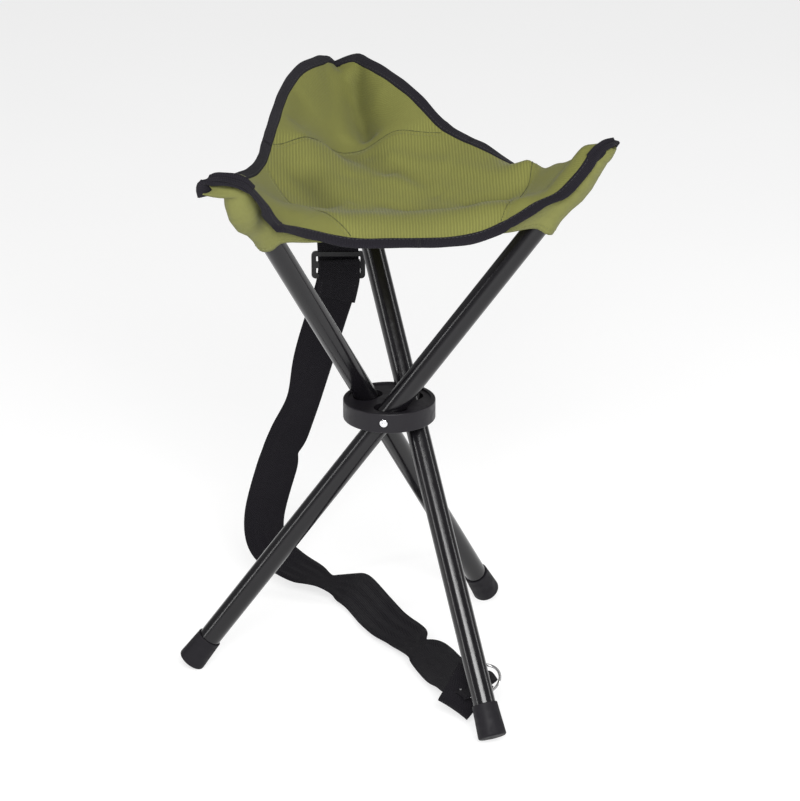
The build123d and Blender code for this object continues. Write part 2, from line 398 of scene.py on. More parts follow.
def flowing(points: list[Point], count: int) -> np.ndarray:
    """Run an even, smooth line through given points.

    Args:
        points: Points in millimetres.
        count: How many points the line gets.

    Returns:
        The line's points in metres.
    """
    p = np.array(points, float) * MM
    p = np.vstack([2 * p[0] - p[1], p, 2 * p[-1] - p[-2]])
    gaps = np.maximum(np.linalg.norm(np.diff(p, axis=0), axis=1), 1e-6) ** 0.5
    knots = np.concatenate([[0], np.cumsum(gaps)])
    fine = []
    for i in range(1, len(p) - 2):
        t = np.linspace(knots[i], knots[i + 1], 24, endpoint=False)[:, None]
        k = knots[i - 1 : i + 3]
        a = [p[i - 1 + j] + (p[i + j] - p[i - 1 + j]) * (t - k[j]) / (k[j + 1] - k[j]) for j in range(3)]
        b = [a[j] + (a[j + 1] - a[j]) * (t - k[j]) / (k[j + 2] - k[j]) for j in range(2)]
        fine.append(b[0] + (b[1] - b[0]) * (t - k[1]) / (k[2] - k[1]))
    fine.append(p[-2][None])
    return even(np.vstack(fine), count)


def even(line: np.ndarray, count: int) -> np.ndarray:
    """Space a line's points evenly along it.

    Args:
        line: The line's points.
        count: How many points to return.

    Returns:
        The evenly spaced points.
    """
    run = np.concatenate([[0], np.cumsum(np.linalg.norm(np.diff(line, axis=0), axis=1))])
    at = np.linspace(0, run[-1], count)
    return np.stack([np.interp(at, run, line[:, k]) for k in range(line.shape[1])], axis=1)


def lengthwise(rows: np.ndarray) -> np.ndarray:
    """Unit directions along a line of points."""
    step = np.gradient(rows, axis=0)
    return unit(step)


def unit(vectors: np.ndarray) -> np.ndarray:
    """The same vectors at length one."""
    return vectors / np.maximum(np.linalg.norm(vectors, axis=-1, keepdims=True), 1e-12)


def new_piece(
    name: str, vertices: np.ndarray, faces: list, uv: np.ndarray, material: bpy.types.Material,
) -> bpy.types.Object:
    """Make a smooth-shaded mesh piece with a cloth map.

    Args:
        name: The piece's name.
        vertices: Points in metres.
        faces: Vertex numbers of each face.
        uv: One map point for each vertex, in metres of cloth.
        material: The piece's finish.

    Returns:
        The new object.
    """
    mesh = bpy.data.meshes.new(name)
    mesh.from_pydata(vertices.tolist(), [], faces)
    layer = mesh.uv_layers.new(name="cloth")
    corners = np.zeros(len(mesh.loops), int)
    mesh.loops.foreach_get("vertex_index", corners)
    layer.data.foreach_set("uv", uv[corners].astype(np.float32).ravel())
    mesh.polygons.foreach_set("use_smooth", [True] * len(mesh.polygons))
    mesh.materials.append(material)
    mesh.validate()
    piece = bpy.data.objects.new(name, mesh)
    bpy.context.collection.objects.link(piece)
    return piece


def band_mesh(
    line: np.ndarray, across: np.ndarray, section: np.ndarray, widths: np.ndarray | None = None,
) -> tuple[np.ndarray, list, np.ndarray]:
    """Sweep a closed cross-section along a line.

    Args:
        line: Middle points of the band.
        across: Unit direction of its width at each point.
        section: Cross-section points as (across, through), going round.
        widths: Factor on the section's width at each point.

    Returns:
        The vertices, the faces, and the cloth map.
    """
    along = lengthwise(line)
    side = unit(across - along * (across * along).sum(1, keepdims=True))
    through = np.cross(along, side)
    n, m = len(line), len(section)
    factor = np.ones(n) if widths is None else widths
    points = (
        line[:, None]
        + side[:, None] * (section[None, :, :1] * factor[:, None, None])
        + through[:, None] * section[None, :, 1:]
    ).reshape(-1, 3)
    faces = []
    for i in range(n - 1):
        for j in range(m):
            k = (j + 1) % m
            faces.append((i * m + j, i * m + k, (i + 1) * m + k, (i + 1) * m + j))
    faces.append(tuple(range(m - 1, -1, -1)))
    faces.append(tuple((n - 1) * m + j for j in range(m)))
    run = np.concatenate([[0], np.cumsum(np.linalg.norm(np.diff(line, axis=0), axis=1))])
    uv = np.stack([np.repeat(run, m), np.tile(section[:, 0], n)], axis=1)
    return points, faces, uv


def flat_section(width: float, thickness: float, steps: int, cup: float = 0.0) -> np.ndarray:
    """A flat band's cross-section with soft edges, counter-clockwise about its line.

    Args:
        width: Full width in metres.
        thickness: Full thickness in metres.
        steps: Points across each face.
        cup: How far the edges stand off the middle.

    Returns:
        The section's points as (across, through).
    """
    x = np.linspace(-0.5, 0.5, steps) * width
    body = np.minimum(1.0, (1 - (2 * x / width) ** 2) * 6 + 0.35) * thickness / 2
    bow = cup * (2 * x / width) ** 2
    upper = np.stack([x, bow + body], axis=1)
    lower = np.stack([x, bow - body], axis=1)
    return np.vstack([lower, upper[::-1]])


def face_outwards(piece: bpy.types.Object) -> None:
    """Turn a closed piece's faces outwards if they point in."""
    mesh = piece.data
    mesh.calc_loop_triangles()
    corners = np.array([t.vertices[:] for t in mesh.loop_triangles])
    points = np.array([v.co[:] for v in mesh.vertices])
    a, b, c = (points[corners[:, k]] for k in range(3))
    if (a * np.cross(b, c)).sum() < 0:
        mesh.flip_normals()


# ---------------------------------------------------------------- stitching


@dataclass
class Stitcher:
    """Rows of stitches, made by a geometry node tree from lines laid on the cloth."""

    pitch: float = 0.0034
    length: float = 0.0026
    radius: float = 0.00034

    def tree(self) -> bpy.types.NodeTree:
        """Build the tree once: lines in, stitches out.

        Returns:
            The node tree.
        """
        known = bpy.data.node_groups.get("stitch rows")
        if known:
            return known
        tree = bpy.data.node_groups.new("stitch rows", "GeometryNodeTree")
        face = tree.interface
        face.new_socket("Geometry", in_out="INPUT", socket_type="NodeSocketGeometry")
        for name in ("Pitch", "Length", "Radius"):
            face.new_socket(name, in_out="INPUT", socket_type="NodeSocketFloat")
        face.new_socket("Thread", in_out="INPUT", socket_type="NodeSocketMaterial")
        face.new_socket("Seed", in_out="INPUT", socket_type="NodeSocketInt")
        face.new_socket("Geometry", in_out="OUTPUT", socket_type="NodeSocketGeometry")
        node, link = tree.nodes.new, tree.links.new
        start, end = node("NodeGroupInput"), node("NodeGroupOutput")
        curve = node("GeometryNodeMeshToCurve")
        rows = node("GeometryNodeResampleCurve")
        rows.mode = "LENGTH"
        stitch = node("GeometryNodeMeshUVSphere")
        stitch.inputs["Segments"].default_value = 6
        stitch.inputs["Rings"].default_value = 4
        link(start.outputs["Radius"], stitch.inputs["Radius"])
        ratio = node("ShaderNodeMath")
        ratio.operation = "DIVIDE"
        link(start.outputs["Length"], ratio.inputs[0])
        double = node("ShaderNodeMath")
        double.operation = "MULTIPLY"
        double.inputs[1].default_value = 2.0
        link(start.outputs["Radius"], double.inputs[0])
        link(double.outputs[0], ratio.inputs[1])
        size = node("ShaderNodeCombineXYZ")
        size.inputs[0].default_value = 1.0
        size.inputs[1].default_value = 1.0
        link(ratio.outputs[0], size.inputs[2])
        tangent = node("GeometryNodeInputTangent")
        align = node("FunctionNodeAlignEulerToVector")
        align.axis = "Z"
        uneven = node("FunctionNodeRandomValue")
        uneven.data_type = "FLOAT"
        uneven.inputs[2].default_value = 0.85
        uneven.inputs[3].default_value = 1.1
        link(start.outputs["Seed"], uneven.inputs["Seed"])
        scaled = node("ShaderNodeVectorMath")
        scaled.operation = "SCALE"
        link(size.outputs[0], scaled.inputs[0])
        link(uneven.outputs[1], scaled.inputs["Scale"])
        place = node("GeometryNodeInstanceOnPoints")
        real = node("GeometryNodeRealizeInstances")
        paint = node("GeometryNodeSetMaterial")
        link(start.outputs["Geometry"], curve.inputs[0])
        link(curve.outputs[0], rows.inputs["Curve"])
        link(start.outputs["Pitch"], rows.inputs["Length"])
        link(rows.outputs[0], place.inputs["Points"])
        link(stitch.outputs["Mesh"], place.inputs["Instance"])
        link(tangent.outputs[0], align.inputs["Vector"])
        link(align.outputs[0], place.inputs["Rotation"])
        link(scaled.outputs[0], place.inputs["Scale"])
        link(place.outputs[0], real.inputs[0])
        link(real.outputs[0], paint.inputs[0])
        link(start.outputs["Thread"], paint.inputs["Material"])
        link(paint.outputs[0], end.inputs[0])
        return tree

    def sew(self, name: str, lines: list[np.ndarray], thread: bpy.types.Material) -> bpy.types.Object:
        """Sew stitches along lines.

        Args:
            name: The piece's name.
            lines: Each line's points in metres.
            thread: The thread's material.

        Returns:
            The stitches as one plain mesh object.
        """
        guide = bpy.data.meshes.new(f"{name} guide")
        points = np.vstack(lines)
        edges, base = [], 0
        for line in lines:
            edges += [(base + i, base + i + 1) for i in range(len(line) - 1)]
            base += len(line)
        guide.from_pydata(points.tolist(), edges, [])
        carrier = bpy.data.objects.new(f"{name} carrier", guide)
        bpy.context.collection.objects.link(carrier)
        tree = self.tree()
        modifier = carrier.modifiers.new("stitches", "NODES")
        modifier.node_group = tree
        values = {
            "Pitch": self.pitch, "Length": self.length, "Radius": self.radius, "Thread": thread, "Seed": 7,
        }
        for item in tree.interface.items_tree:
            if item.in_out == "INPUT" and item.name in values:
                modifier[item.identifier] = values[item.name]
        bpy.context.view_layer.update()
        graph = bpy.context.evaluated_depsgraph_get()
        mesh = bpy.data.meshes.new_from_object(carrier.evaluated_get(graph))
        carrier.modifiers.remove(modifier)
        bpy.data.objects.remove(carrier)
        mesh.name = name
        mesh.polygons.foreach_set("use_smooth", [True] * len(mesh.polygons))
        piece = bpy.data.objects.new(name, mesh)
        bpy.context.collection.objects.link(piece)
        return piece


# ---------------------------------------------------------------- seat


@dataclass(frozen=True)
class Fold:
    """A soft ridge or valley pressed into the cloth along a line seen from above."""

    start: tuple[float, float]
    end: tuple[float, float]
    rise: float
    width: float

    def lift(self, plan: np.ndarray) -> np.ndarray:
        """Work out how far this fold lifts the cloth.

        Args:
            plan: Points seen from above, in millimetres.

        Returns:
            The lift in millimetres at each point.
        """
        a, b = np.array(self.start), np.array(self.end)
        run = b - a
        t = ((plan - a) @ run) / (run @ run)
        off = np.linalg.norm(plan - a - np.clip(t, 0, 1)[:, None] * run, axis=1)
        over = np.maximum(0, np.abs(t - 0.5) - 0.5) * np.linalg.norm(run)
        return self.rise * np.exp(-((off / self.width) ** 2)) * np.exp(-((over / self.width) ** 2))


@dataclass
class SeatSling:
    """The sling: one cloth cut in three sectors at the hub, with its bindings and seams; its tips and
    pouches are made by CornerPouch.
    """

    finishes: Finishes
    front: list[Point] = field(default_factory=lambda: [
        (-184, -95, 509), (-172, -103, 513), (-160, -107, 511), (-153, -109, 507), (-147, -108, 500),
        (-138, -105, 488), (-129, -98, 473), (-119, -90, 462), (-107, -85, 457), (-88, -82, 450),
        (-57, -83, 441), (-15, -87, 438),
        (23, -90, 436), (48, -90, 437), (68, -90, 442), (87, -91, 451), (106, -93, 462),
        (124, -97, 471), (136, -100, 484), (145, -102, 496), (153, -101, 507), (169, -99, 513),
    ])
    right_back: list[Point] = field(default_factory=lambda: [
        (169, -99, 513), (166, -84, 500), (160, -60, 478), (149, -31, 462), (132, -5, 458),
        (113, 17, 465), (96, 37, 474), (85, 55, 477), (71, 76, 484), (54, 107, 504),
        (38, 138, 516), (27, 159, 521), (19, 178, 522), (5, 190, 515),
    ])
    left_back: list[Point] = field(default_factory=lambda: [
        (5, 190, 515), (-2, 184, 521), (-23, 160, 526), (-38, 147, 525), (-59, 121, 515),
        (-81, 78, 499), (-94, 50, 490), (-106, 21, 485), (-122, -8, 484), (-145, -46, 493),
        (-164, -74, 503), (-184, -95, 509),
    ])
    guides: list[Point] = field(default_factory=lambda: [
        # the tight line between the two front corners
        (-126, -75, 470), (-97, -65, 464), (-70, -58, 459), (-30, -53, 453), (8, -54, 450), (36, -60, 451),
        (65, -69, 455), (95, -78, 463), (122, -84, 474),
        # the cloth rolling over towards the front edge
        (-90, -74, 457), (-57, -74, 450), (-15, -76, 445.5), (23, -79, 444), (48, -80, 446), (68, -81, 450),
        # the hollow behind it
        (-86, -28, 455), (-60, -22, 450), (-30, -20, 446), (10, -22, 443), (53, -36, 448), (84, -52, 455),
        # the middle, rising to the back
        (-25, 34, 459), (17, 24, 456), (60, 14, 459), (99, -8, 466), (-50, 24, 466), (-71, 0, 460),
        (-92, 4, 464), (0, 0, 448), (40, 50, 465), (-70, 40, 476), (0, 60, 463),
        # the back corner's seam line
        (-80, 57, 487), (-57, 69, 488), (-30, 86, 471), (-19, 91, 466), (6, 91, 466),
        (19, 89, 475), (31, 88, 481),
        (58, 74, 480),
        # the back hood, over its leg
        (1, 172, 510), (-8, 150, 499), (-14, 125, 485), (-18, 108, 475), (10, 150, 491), (16, 125, 480),
        (-35, 125, 503), (28, 130, 503),
        # the right corner's seam line and its hood
        (125, -12, 475), (114, -34, 461), (104, -50, 456), (92, -66, 458), (142, -42, 479),
        (138, -72, 485), (150, -62, 489),
        (151, -80, 503), (147, -87, 507), (160, -92, 510), (136, -82, 491), (128, -79, 480), (120, -75, 469),
        # the left corner's hood
        (-126, -48, 480), (-110, -30, 468), (-145, -68, 500), (-149, -85, 507), (-160, -88, 509),
        (-139, -79, 492), (-132, -73, 480), (-150, -98, 508), (-140, -93, 493),
    ])
    folds: list[Fold] = field(default_factory=lambda: [
        Fold((6, 74), (42, -6), -2.2, 8), Fold((17, 162), (12, 106), -6.5, 8),
        Fold((2, 170), (-8, 108), 4.5, 9), Fold((-66, 22), (-58, -8), -7.0, 19),
        Fold((60, -34), (92, -46), -4.0, 9), Fold((-20, 84), (10, 40), -2.8, 10),
        Fold((-34, 78), (-24, 40), 2.2, 9), Fold((-95, -45), (-40, -10), 2.4, 9),
        Fold((70, 20), (110, -30), 1.2, 8), Fold((-40, 70), (-70, 30), 1.8, 9),
        Fold((20, 60), (60, 30), 2.0, 9), Fold((0, 30), (50, -6), 1.6, 9),
        Fold((-10, -10), (60, -50), -1.8, 8), Fold((-60, 95), (-48, 120), -2.5, 9),
    ])
    seams: dict[Corner, list[tuple[float, float]]] = field(default_factory=lambda: {
        Corner.BACK: [
            (-91, 52), (-75, 60), (-57, 69), (-44, 78), (-30, 86), (-19, 90),
            (6, 90), (19, 88), (31, 87), (50, 78), (68, 71),
        ],
        Corner.RIGHT: [(128, -10), (122, -24), (116, -36), (107, -47), (92, -66), (82, -77), (75, -86)],
        Corner.LEFT: [(-57, -79), (-71, -59), (-82, -40), (-92, -22), (-98, -4), (-104, 14)],
    })
    upturns: list[tuple[Point, float, Point]] = field(default_factory=lambda: [
        ((-131, -99, 476), 20.0, (0.62, 0.1, 0.75)), ((139, -100, 488), 18.0, (-0.5, 0.1, 0.8)),
    ])
    edge_steps: int = 90
    rib_turn: float = -14.0
    rings: int = 60
    thickness: float = 0.0012
    binding_width: float = 0.0098
    binding_thickness: float = 0.0034
    blend_start: float = 0.055
    blend_end: float = 0.128

    def __post_init__(self) -> None:
        """Lay out the edge loop and the cloth's grid."""
        self.edges = [flowing(p, self.edge_steps + 1) for p in (self.front, self.right_back, self.left_back)]
        self.loop = np.vstack([edge[:-1] for edge in self.edges])
        self.fit_height()
        self.lay_grid()

    def fit_height(self) -> None:
        """Fit one smooth height over the edge and the listed points."""
        known = np.vstack([self.loop[::6], np.array(self.guides) * MM])
        plan = known[:, :2] * 1000
        gap = np.linalg.norm(plan[:, None] - plan[None], axis=2)
        kernel = gap**2 * np.log(np.maximum(gap, 1e-9)) + np.eye(len(plan)) * 12.0
        flat = np.hstack([np.ones((len(plan), 1)), plan])
        whole = np.block([[kernel, flat], [flat.T, np.zeros((3, 3))]])
        values = np.concatenate([known[:, 2] * 1000, np.zeros(3)])
        self.weights = np.linalg.solve(whole, values)
        self.centres = plan

    def height(self, plan: np.ndarray) -> np.ndarray:
        """Read the fitted height.

        Args:
            plan: Points seen from above, in millimetres.

        Returns:
            Heights in millimetres.
        """
        gap = np.linalg.norm(plan[:, None] - self.centres[None], axis=2)
        kernel = gap**2 * np.log(np.maximum(gap, 1e-9))
        flat = np.hstack([np.ones((len(plan), 1)), plan])
        z = kernel @ self.weights[:-3] + flat @ self.weights[-3:]
        for fold in self.folds:
            z += fold.lift(plan)
        for seam in self.seams.values():
            line = flowing([(x, y, 0) for x, y in seam], 60)[:, :2] * 1000
            near = np.linalg.norm(plan[:, None] - line[None], axis=2).min(axis=1)
            z -= 1.1 * np.exp(-((near / 2.6) ** 2))
        return z

    def lay_grid(self) -> None:
        """Lay rings of points from the middle out to the edge loop."""
        middle = np.array([0.0, -0.004])
        n = len(self.loop)
        share = np.linspace(0, 1, self.rings + 1)[1:] ** 0.85
        grid = np.zeros((self.rings, n, 3))
        for i, s in enumerate(share):
            plan = middle + (self.loop[:, :2] - middle) * s
            grid[i, :, :2] = plan
            grid[i, :, 2] = self.height(plan * 1000) * MM
        miss = self.loop[:, 2] - grid[-1, :, 2]
        for i, s in enumerate(share):
            grid[i, :, 2] += miss * np.clip((s - 0.86) / 0.14, 0, 1) ** 2
        centre = self.height(middle[None] * 1000)[0] * MM
        self.centre = np.array([middle[0], middle[1], centre])
        self.grid = grid
        azimuth = np.degrees(np.arctan2(self.loop[:, 1] - middle[1], self.loop[:, 0] - middle[0]))
        cuts = {}
        for angle in (-90.0, 30.0, 150.0):
            off = np.abs((azimuth - angle + 180) % 360 - 180)
            cuts[angle] = int(off.argmin())
        self.spans = {
            Corner.RIGHT: (cuts[-90.0], cuts[30.0]),
            Corner.BACK: (cuts[30.0], cuts[150.0]),
            Corner.LEFT: (cuts[150.0], cuts[-90.0] + n),
        }
        self.normals = self.surface_normals()

    def surface_normals(self) -> np.ndarray:
        """Upward normals at the grid's points."""
        around = np.roll(self.grid, -1, axis=1) - np.roll(self.grid, 1, axis=1)
        outward = np.gradient(self.grid, axis=0)
        return unit(np.cross(outward, around))

    def columns(self, corner: Corner) -> list[int]:
        """The grid columns of one corner's sector, from cut to cut."""
        first, last = self.spans[corner]
        return [k % len(self.loop) for k in range(first, last + 1)]

    def bend(self, piece: bpy.types.Object, corner: Corner) -> None:
        """Bake a piece's placement into its mesh."""
        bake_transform(piece)

    def ease(self, plan: np.ndarray) -> np.ndarray:
        """How far each point lies beyond its corner's seam, from 0 to 1."""
        value = np.zeros(len(plan))
        for corner, seam in self.seams.items():
            line = np.array(seam) * MM
            middle = line.mean(axis=0)
            out = np.array([line[-1][1] - line[0][1], line[0][0] - line[-1][0]])
            out = out / np.linalg.norm(out)
            if out @ middle < 0:
                out = -out
            value = np.maximum(value, np.clip(((plan - middle) @ out) / 0.008 + 0.5, 0, 1))
        return value

    def panel(self, corner: Corner) -> bpy.types.Object:
        """Make one sector of the cloth, closed all round.

        Args:
            corner: The sector's corner.

        Returns:
            The sector's object.
        """
        columns = self.columns(corner)
        m, r = len(columns), self.rings
        points = self.grid[:, columns].reshape(-1, 3)
        normals = self.normals[:, columns].reshape(-1, 3)
        top = np.vstack([self.centre + [0, 0, self.thickness / 2], points + normals * self.thickness / 2])
        low = np.vstack([self.centre - [0, 0, self.thickness / 2], points - normals * self.thickness / 2])
        base = len(top)
        faces, rim = [], []
        for j in range(m - 1):
            faces.append((0, 1 + j, 2 + j))
            for i in range(r - 1):
                a = 1 + i * m + j
                faces.append((a, a + m, a + m + 1, a + 1))
        faces += [tuple(base + v for v in reversed(face)) for face in faces]
        border = [1 + i * m for i in range(r)] + [1 + (r - 1) * m + j for j in range(1, m)]
        border += [1 + i * m + m - 1 for i in range(r - 2, -1, -1)]
        ring = [0] + border
        for a, b in zip(ring, ring[1:] + ring[:1]):
            rim.append((a, base + a, base + b, b))
        plan = np.vstack([top, low])[:, :2]
        turn = radians(self.rib_turn)
        across = plan[:, 0] * cos(turn) + plan[:, 1] * sin(turn)
        along = -plan[:, 0] * sin(turn) + plan[:, 1] * cos(turn)
        uv = np.stack([across, along], axis=1)
        cloth = self.finishes.get("seat")
        piece = new_piece(f"seat_cloth_{corner.label}", np.vstack([top, low]), faces + rim, uv, cloth)
        mesh = piece.data
        attribute = mesh.attributes.new("corner", "FLOAT", "POINT")
        attribute.data.foreach_set("value", self.ease(plan).astype(np.float32))
        edge_of = {}
        for edge in mesh.edges:
            edge_of[tuple(sorted(edge.vertices))] = edge
        for a, b, c, d in rim:
            for pair in ((a, d), (b, c)):
                edge_of[tuple(sorted(pair))].use_edge_sharp = True
        # painted shade: the depth of the folds at each point, stored for darkening the cloth's colour
        shade = mesh.attributes.new("painted_shade", "FLOAT", "POINT")
        shade.data.foreach_set("value", self.painted_fold_shade(plan * 1000).astype(np.float32))
        face_outwards(piece)
        return piece

    def painted_fold_shade(self, plan: np.ndarray) -> np.ndarray:
        """Painted shade: how deep each point lies in the cloth's folds, from 0 to 1, for darkening its
        colour.
        """
        depth = sum(-fold.lift(plan) for fold in self.folds)
        return np.clip(depth / 16, 0, 0.6)

    def rim(self, corner: Corner) -> tuple[np.ndarray, np.ndarray]:
        """One sector's edge line, and the direction across the tape at each of its points."""
        columns = self.columns(corner)
        line = self.loop[columns]
        across = unit(np.cross(self.normals[-3, columns], lengthwise(line)))
        inwards = np.sign((across * (self.grid[-4, columns] - line)).sum(1, keepdims=True))
        across = across * inwards
        for middle, reach, lean in self.upturns:
            near = np.exp(-((np.linalg.norm(line * 1000 - np.array(middle), axis=1) / reach) ** 2))
            across = unit(across + near[:, None] * 1.6 * np.array(lean))
        return line - across * 0.0018, across

    def binding(self, corner: Corner) -> bpy.types.Object:
        """Make the folded tape round one sector's two half edges.

        Args:
            corner: The sector's corner.

        Returns:
            The binding's object.
        """
        columns = self.columns(corner)
        line, across = self.rim(corner)
        tip = int(np.argmax((line @ np.array(corner.outward))))
        wave = np.sin(np.arange(len(columns)) * 0.9) * 0.03
        parts, faces, uvs, base = [], [], [], 0
        for run in (slice(0, tip + 1), slice(tip, len(columns))):
            section = flat_section(self.binding_width, self.binding_thickness, 9)
            points, found, uv = band_mesh(line[run], across[run], section, 1 + wave[run])
            parts.append(points)
            faces += [tuple(base + v for v in face) for face in found]
            uvs.append(uv)
            base += len(points)
        tape = self.finishes.get("tape")
        piece = new_piece(f"edge_tape_{corner.label}", np.vstack(parts), faces, np.vstack(uvs), tape)
        face_outwards(piece)
        return piece

    def binding_seam(self, corner: Corner) -> bpy.types.Object:
        """Sew the row of stitches near the tape's inner edge."""
        line, across = self.rim(corner)
        through = np.cross(lengthwise(line), across)
        lift = self.binding_thickness / 2 + 0.0001
        rows = [line + across * 0.0027 + through * side * lift for side in (1, -1)]
        thread = self.finishes.get("black_thread")
        return Stitcher(0.0036, 0.0027, 0.0003).sew(f"tape_stitches_{corner.label}", rows, thread)

    def seam_rows(self, corner: Corner, offset: float, lift: float, count: int = 90) -> np.ndarray:
        """A line on the cloth beside a corner's seam.

        Args:
            corner: The seam's corner.
            offset: Distance from the seam, in millimetres.
            lift: Height above the cloth in metres.
            count: How many points the line gets.

        Returns:
            The line's points.
        """
        line = flowing([(x, y, 0) for x, y in self.seams[corner]], count)
        along = lengthwise(line)
        plan = line[:, :2] * 1000 + np.stack([-along[:, 1], along[:, 0]], axis=1) * offset
        return np.column_stack([plan * MM, self.height(plan) * MM + lift])

    def pocket_seam(self, corner: Corner) -> list[bpy.types.Object]:
        """Sew a corner's double seam: a dark row in the fold, which stands in for the fold's shadow as
        painted shadow, and an olive one beside it.
        """
        sign = -1.0 if corner is Corner.BACK else 1.0
        dark = Stitcher(0.0027, 0.0034, 0.00042).sew(
            f"pocket_seam_{corner.label}", [self.seam_rows(corner, 0.0, 0.0009)],
            self.finishes.get("dark_thread"),
        )
        pale = Stitcher(0.0034, 0.0026, 0.00034).sew(
            f"pocket_stitches_{corner.label}", [self.seam_rows(corner, sign * 4.0, 0.0008)],
            self.finishes.get("olive_thread"),
        )
        return [dark, pale]

    def build(self) -> None:
        """Build the cloth, its bindings and its seams, and bake their placement into their meshes."""
        nodes = {
            Corner.LEFT: "edge_binding_left", Corner.RIGHT: "edge_binding_front",
            Corner.BACK: "edge_binding_right",
        }
        for corner in Corner:
            cloth = self.panel(corner)
            tape = self.binding(corner)
            rows = [self.binding_seam(corner)] + self.pocket_seam(corner)
            for piece in [cloth, tape] + rows:
                self.bend(piece, corner)
            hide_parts(nodes[corner])
            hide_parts("seat_panel")
            LOG.info("seat sector %s: cloth, tape and %d rows of stitches", corner.label, len(rows))


@dataclass
class CornerPouch:
    """The pouch sewn under a corner, in which a leg's end sits, with its wrapped tape tip."""

    corner: Corner
    finishes: Finishes
    sling: SeatSling
    reach: float
    bulge: list[float]
    edge_share: float
    waist: float
    nose: float
    tip_route: list[tuple[Point, Point, float]]
    # strength of the painted shade over the dent under the tape, 0 for none
    painted_dent_shade: float = 0.0

    def leg_line(self) -> tuple[np.ndarray, np.ndarray]:
        """The leg's upper end and the unit direction down it."""
        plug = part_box(f"top_plug_{self.corner.label}")
        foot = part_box(f"foot_cap_{self.corner.label}")
        top = (np.array(plug[0]) + np.array(plug[1])) / 2
        low = (np.array(foot[0]) + np.array(foot[1])) / 2
        down = unit(low - top)
        return top - down * 0.0135, down

    def sections(self) -> tuple[np.ndarray, np.ndarray]:
        """Lay the pouch's cross-sections, from the tip to the mouth.

        Returns:
            The grid of points and its map of cloth.
        """
        columns = self.sling.columns(self.corner)
        line = self.sling.loop[columns]
        tip = int(np.argmax(line @ np.array(self.corner.outward)))
        ahead, behind = line[tip::-1], line[tip:]
        top, down = self.leg_line()
        out = np.array(self.corner.outward)
        side = unit(np.cross([0.0, 0.0, 1.0], out))
        below = unit(np.cross(side, down))
        if below[2] > 0:
            below = -below
        rows, steps, nose = [], 30, 5
        for i in range(steps):
            t = max(0.0, (i - nose) / (steps - 1 - nose))
            a = ahead[int(t * self.edge_share * (len(ahead) - 1))]
            b = behind[int(t * self.edge_share * (len(behind) - 1))]
            depth = float(np.interp(t, np.linspace(0, 1, len(self.bulge)), self.bulge)) * MM
            centre = top + down * self.reach * t
            if i < nose:
                part = i / nose
                depth = (self.nose + (self.bulge[0] - self.nose) * part) * MM
                hang = line[tip] - [0, 0, depth * 0.9]
                centre = hang + (top - hang) * part
            sign = 1.0 if (ahead[20] - behind[20]) @ side > 0 else -1.0
            waist = min(depth, self.waist * MM)
            pa, pb = centre + side * sign * waist, centre - side * sign * waist
            bottom = centre + below * depth
            qa = centre + unit(below + side * sign) * (depth * 0.6 + waist * 0.4)
            qb = centre + unit(below - side * sign) * (depth * 0.6 + waist * 0.4)
            wa, wb = a * 0.42 + pa * 0.58, b * 0.42 + pb * 0.58
            control = np.array([a, wa, pa, qa, bottom, qb, pb, wb, b]) / MM
            rows.append(flowing([tuple(p) for p in control], 48))
        grid = np.array(rows)
        run = np.linspace(0, 1, 48)
        uv = np.array([[(x * 0.16, i / (steps - 1) * 0.1) for x in run] for i in range(steps)])
        return grid, uv.reshape(-1, 2)

    def pouch(self) -> bpy.types.Object:
        """Make the pouch as a thin closed shell."""
        grid, uv = self.sections()
        n, m = grid.shape[:2]
        normal = unit(np.cross(np.gradient(grid, axis=0), np.gradient(grid, axis=1)))
        if (normal[n // 2, m // 2][2]) > 0:
            normal = -normal
        outer = (grid + normal * 0.0006).reshape(-1, 3)
        inner = (grid - normal * 0.0006).reshape(-1, 3)
        base = n * m
        corners = [i * m + j for i in range(n - 1) for j in range(m - 1)]
        faces = [(k, k + m, k + m + 1, k + 1) for k in corners]
        faces += [tuple(base + v for v in reversed(face)) for face in faces]
        ring = [i * m for i in range(n)] + [(n - 1) * m + j for j in range(1, m)]
        ring += [i * m + m - 1 for i in range(n - 2, -1, -1)] + list(range(m - 2, 0, -1))
        for a, b in zip(ring, ring[1:] + ring[:1]):
            faces.append((a, base + a, base + b, b))
        cloth = self.finishes.get("pouch")
        shell = np.vstack([outer, inner])
        piece = new_piece(f"pouch_{self.corner.label}", shell, faces, np.vstack([uv, uv]), cloth)
        attribute = piece.data.attributes.new("corner", "FLOAT", "POINT")
        attribute.data.foreach_set("value", np.ones(2 * base, np.float32))
        # painted shade: a dark patch laid into the pouch's colour where its dent under the tape lies
        if self.painted_dent_shade:
            down, around = np.meshgrid(np.linspace(0, 1, n), np.linspace(0, 1, m), indexing="ij")
            dark = self.painted_dent_shade * np.exp(-(((down - 0.5) / 0.17) ** 2) - ((around - 0.82) / 0.085) ** 2)
            shade = piece.data.attributes.new("painted_shade", "FLOAT", "POINT")
            shade.data.foreach_set("value", np.tile(dark.ravel(), 2).astype(np.float32))
        face_outwards(piece)
        return piece

    def cuff(self) -> bpy.types.Object:
        """Sew the row of stitches round the pouch's mouth."""
        grid, _ = self.sections()
        rows = [grid[-2] * 0.6 + grid[-3] * 0.4]
        normal = unit(np.cross(np.gradient(grid, axis=0), np.gradient(grid, axis=1)))[-2]
        if normal[len(normal) // 2][2] > 0:
            normal = -normal
        rows[0] = rows[0] + normal * 0.0008
        return Stitcher().sew(f"cuff_stitches_{self.corner.label}", rows, self.finishes.get("olive_thread"))

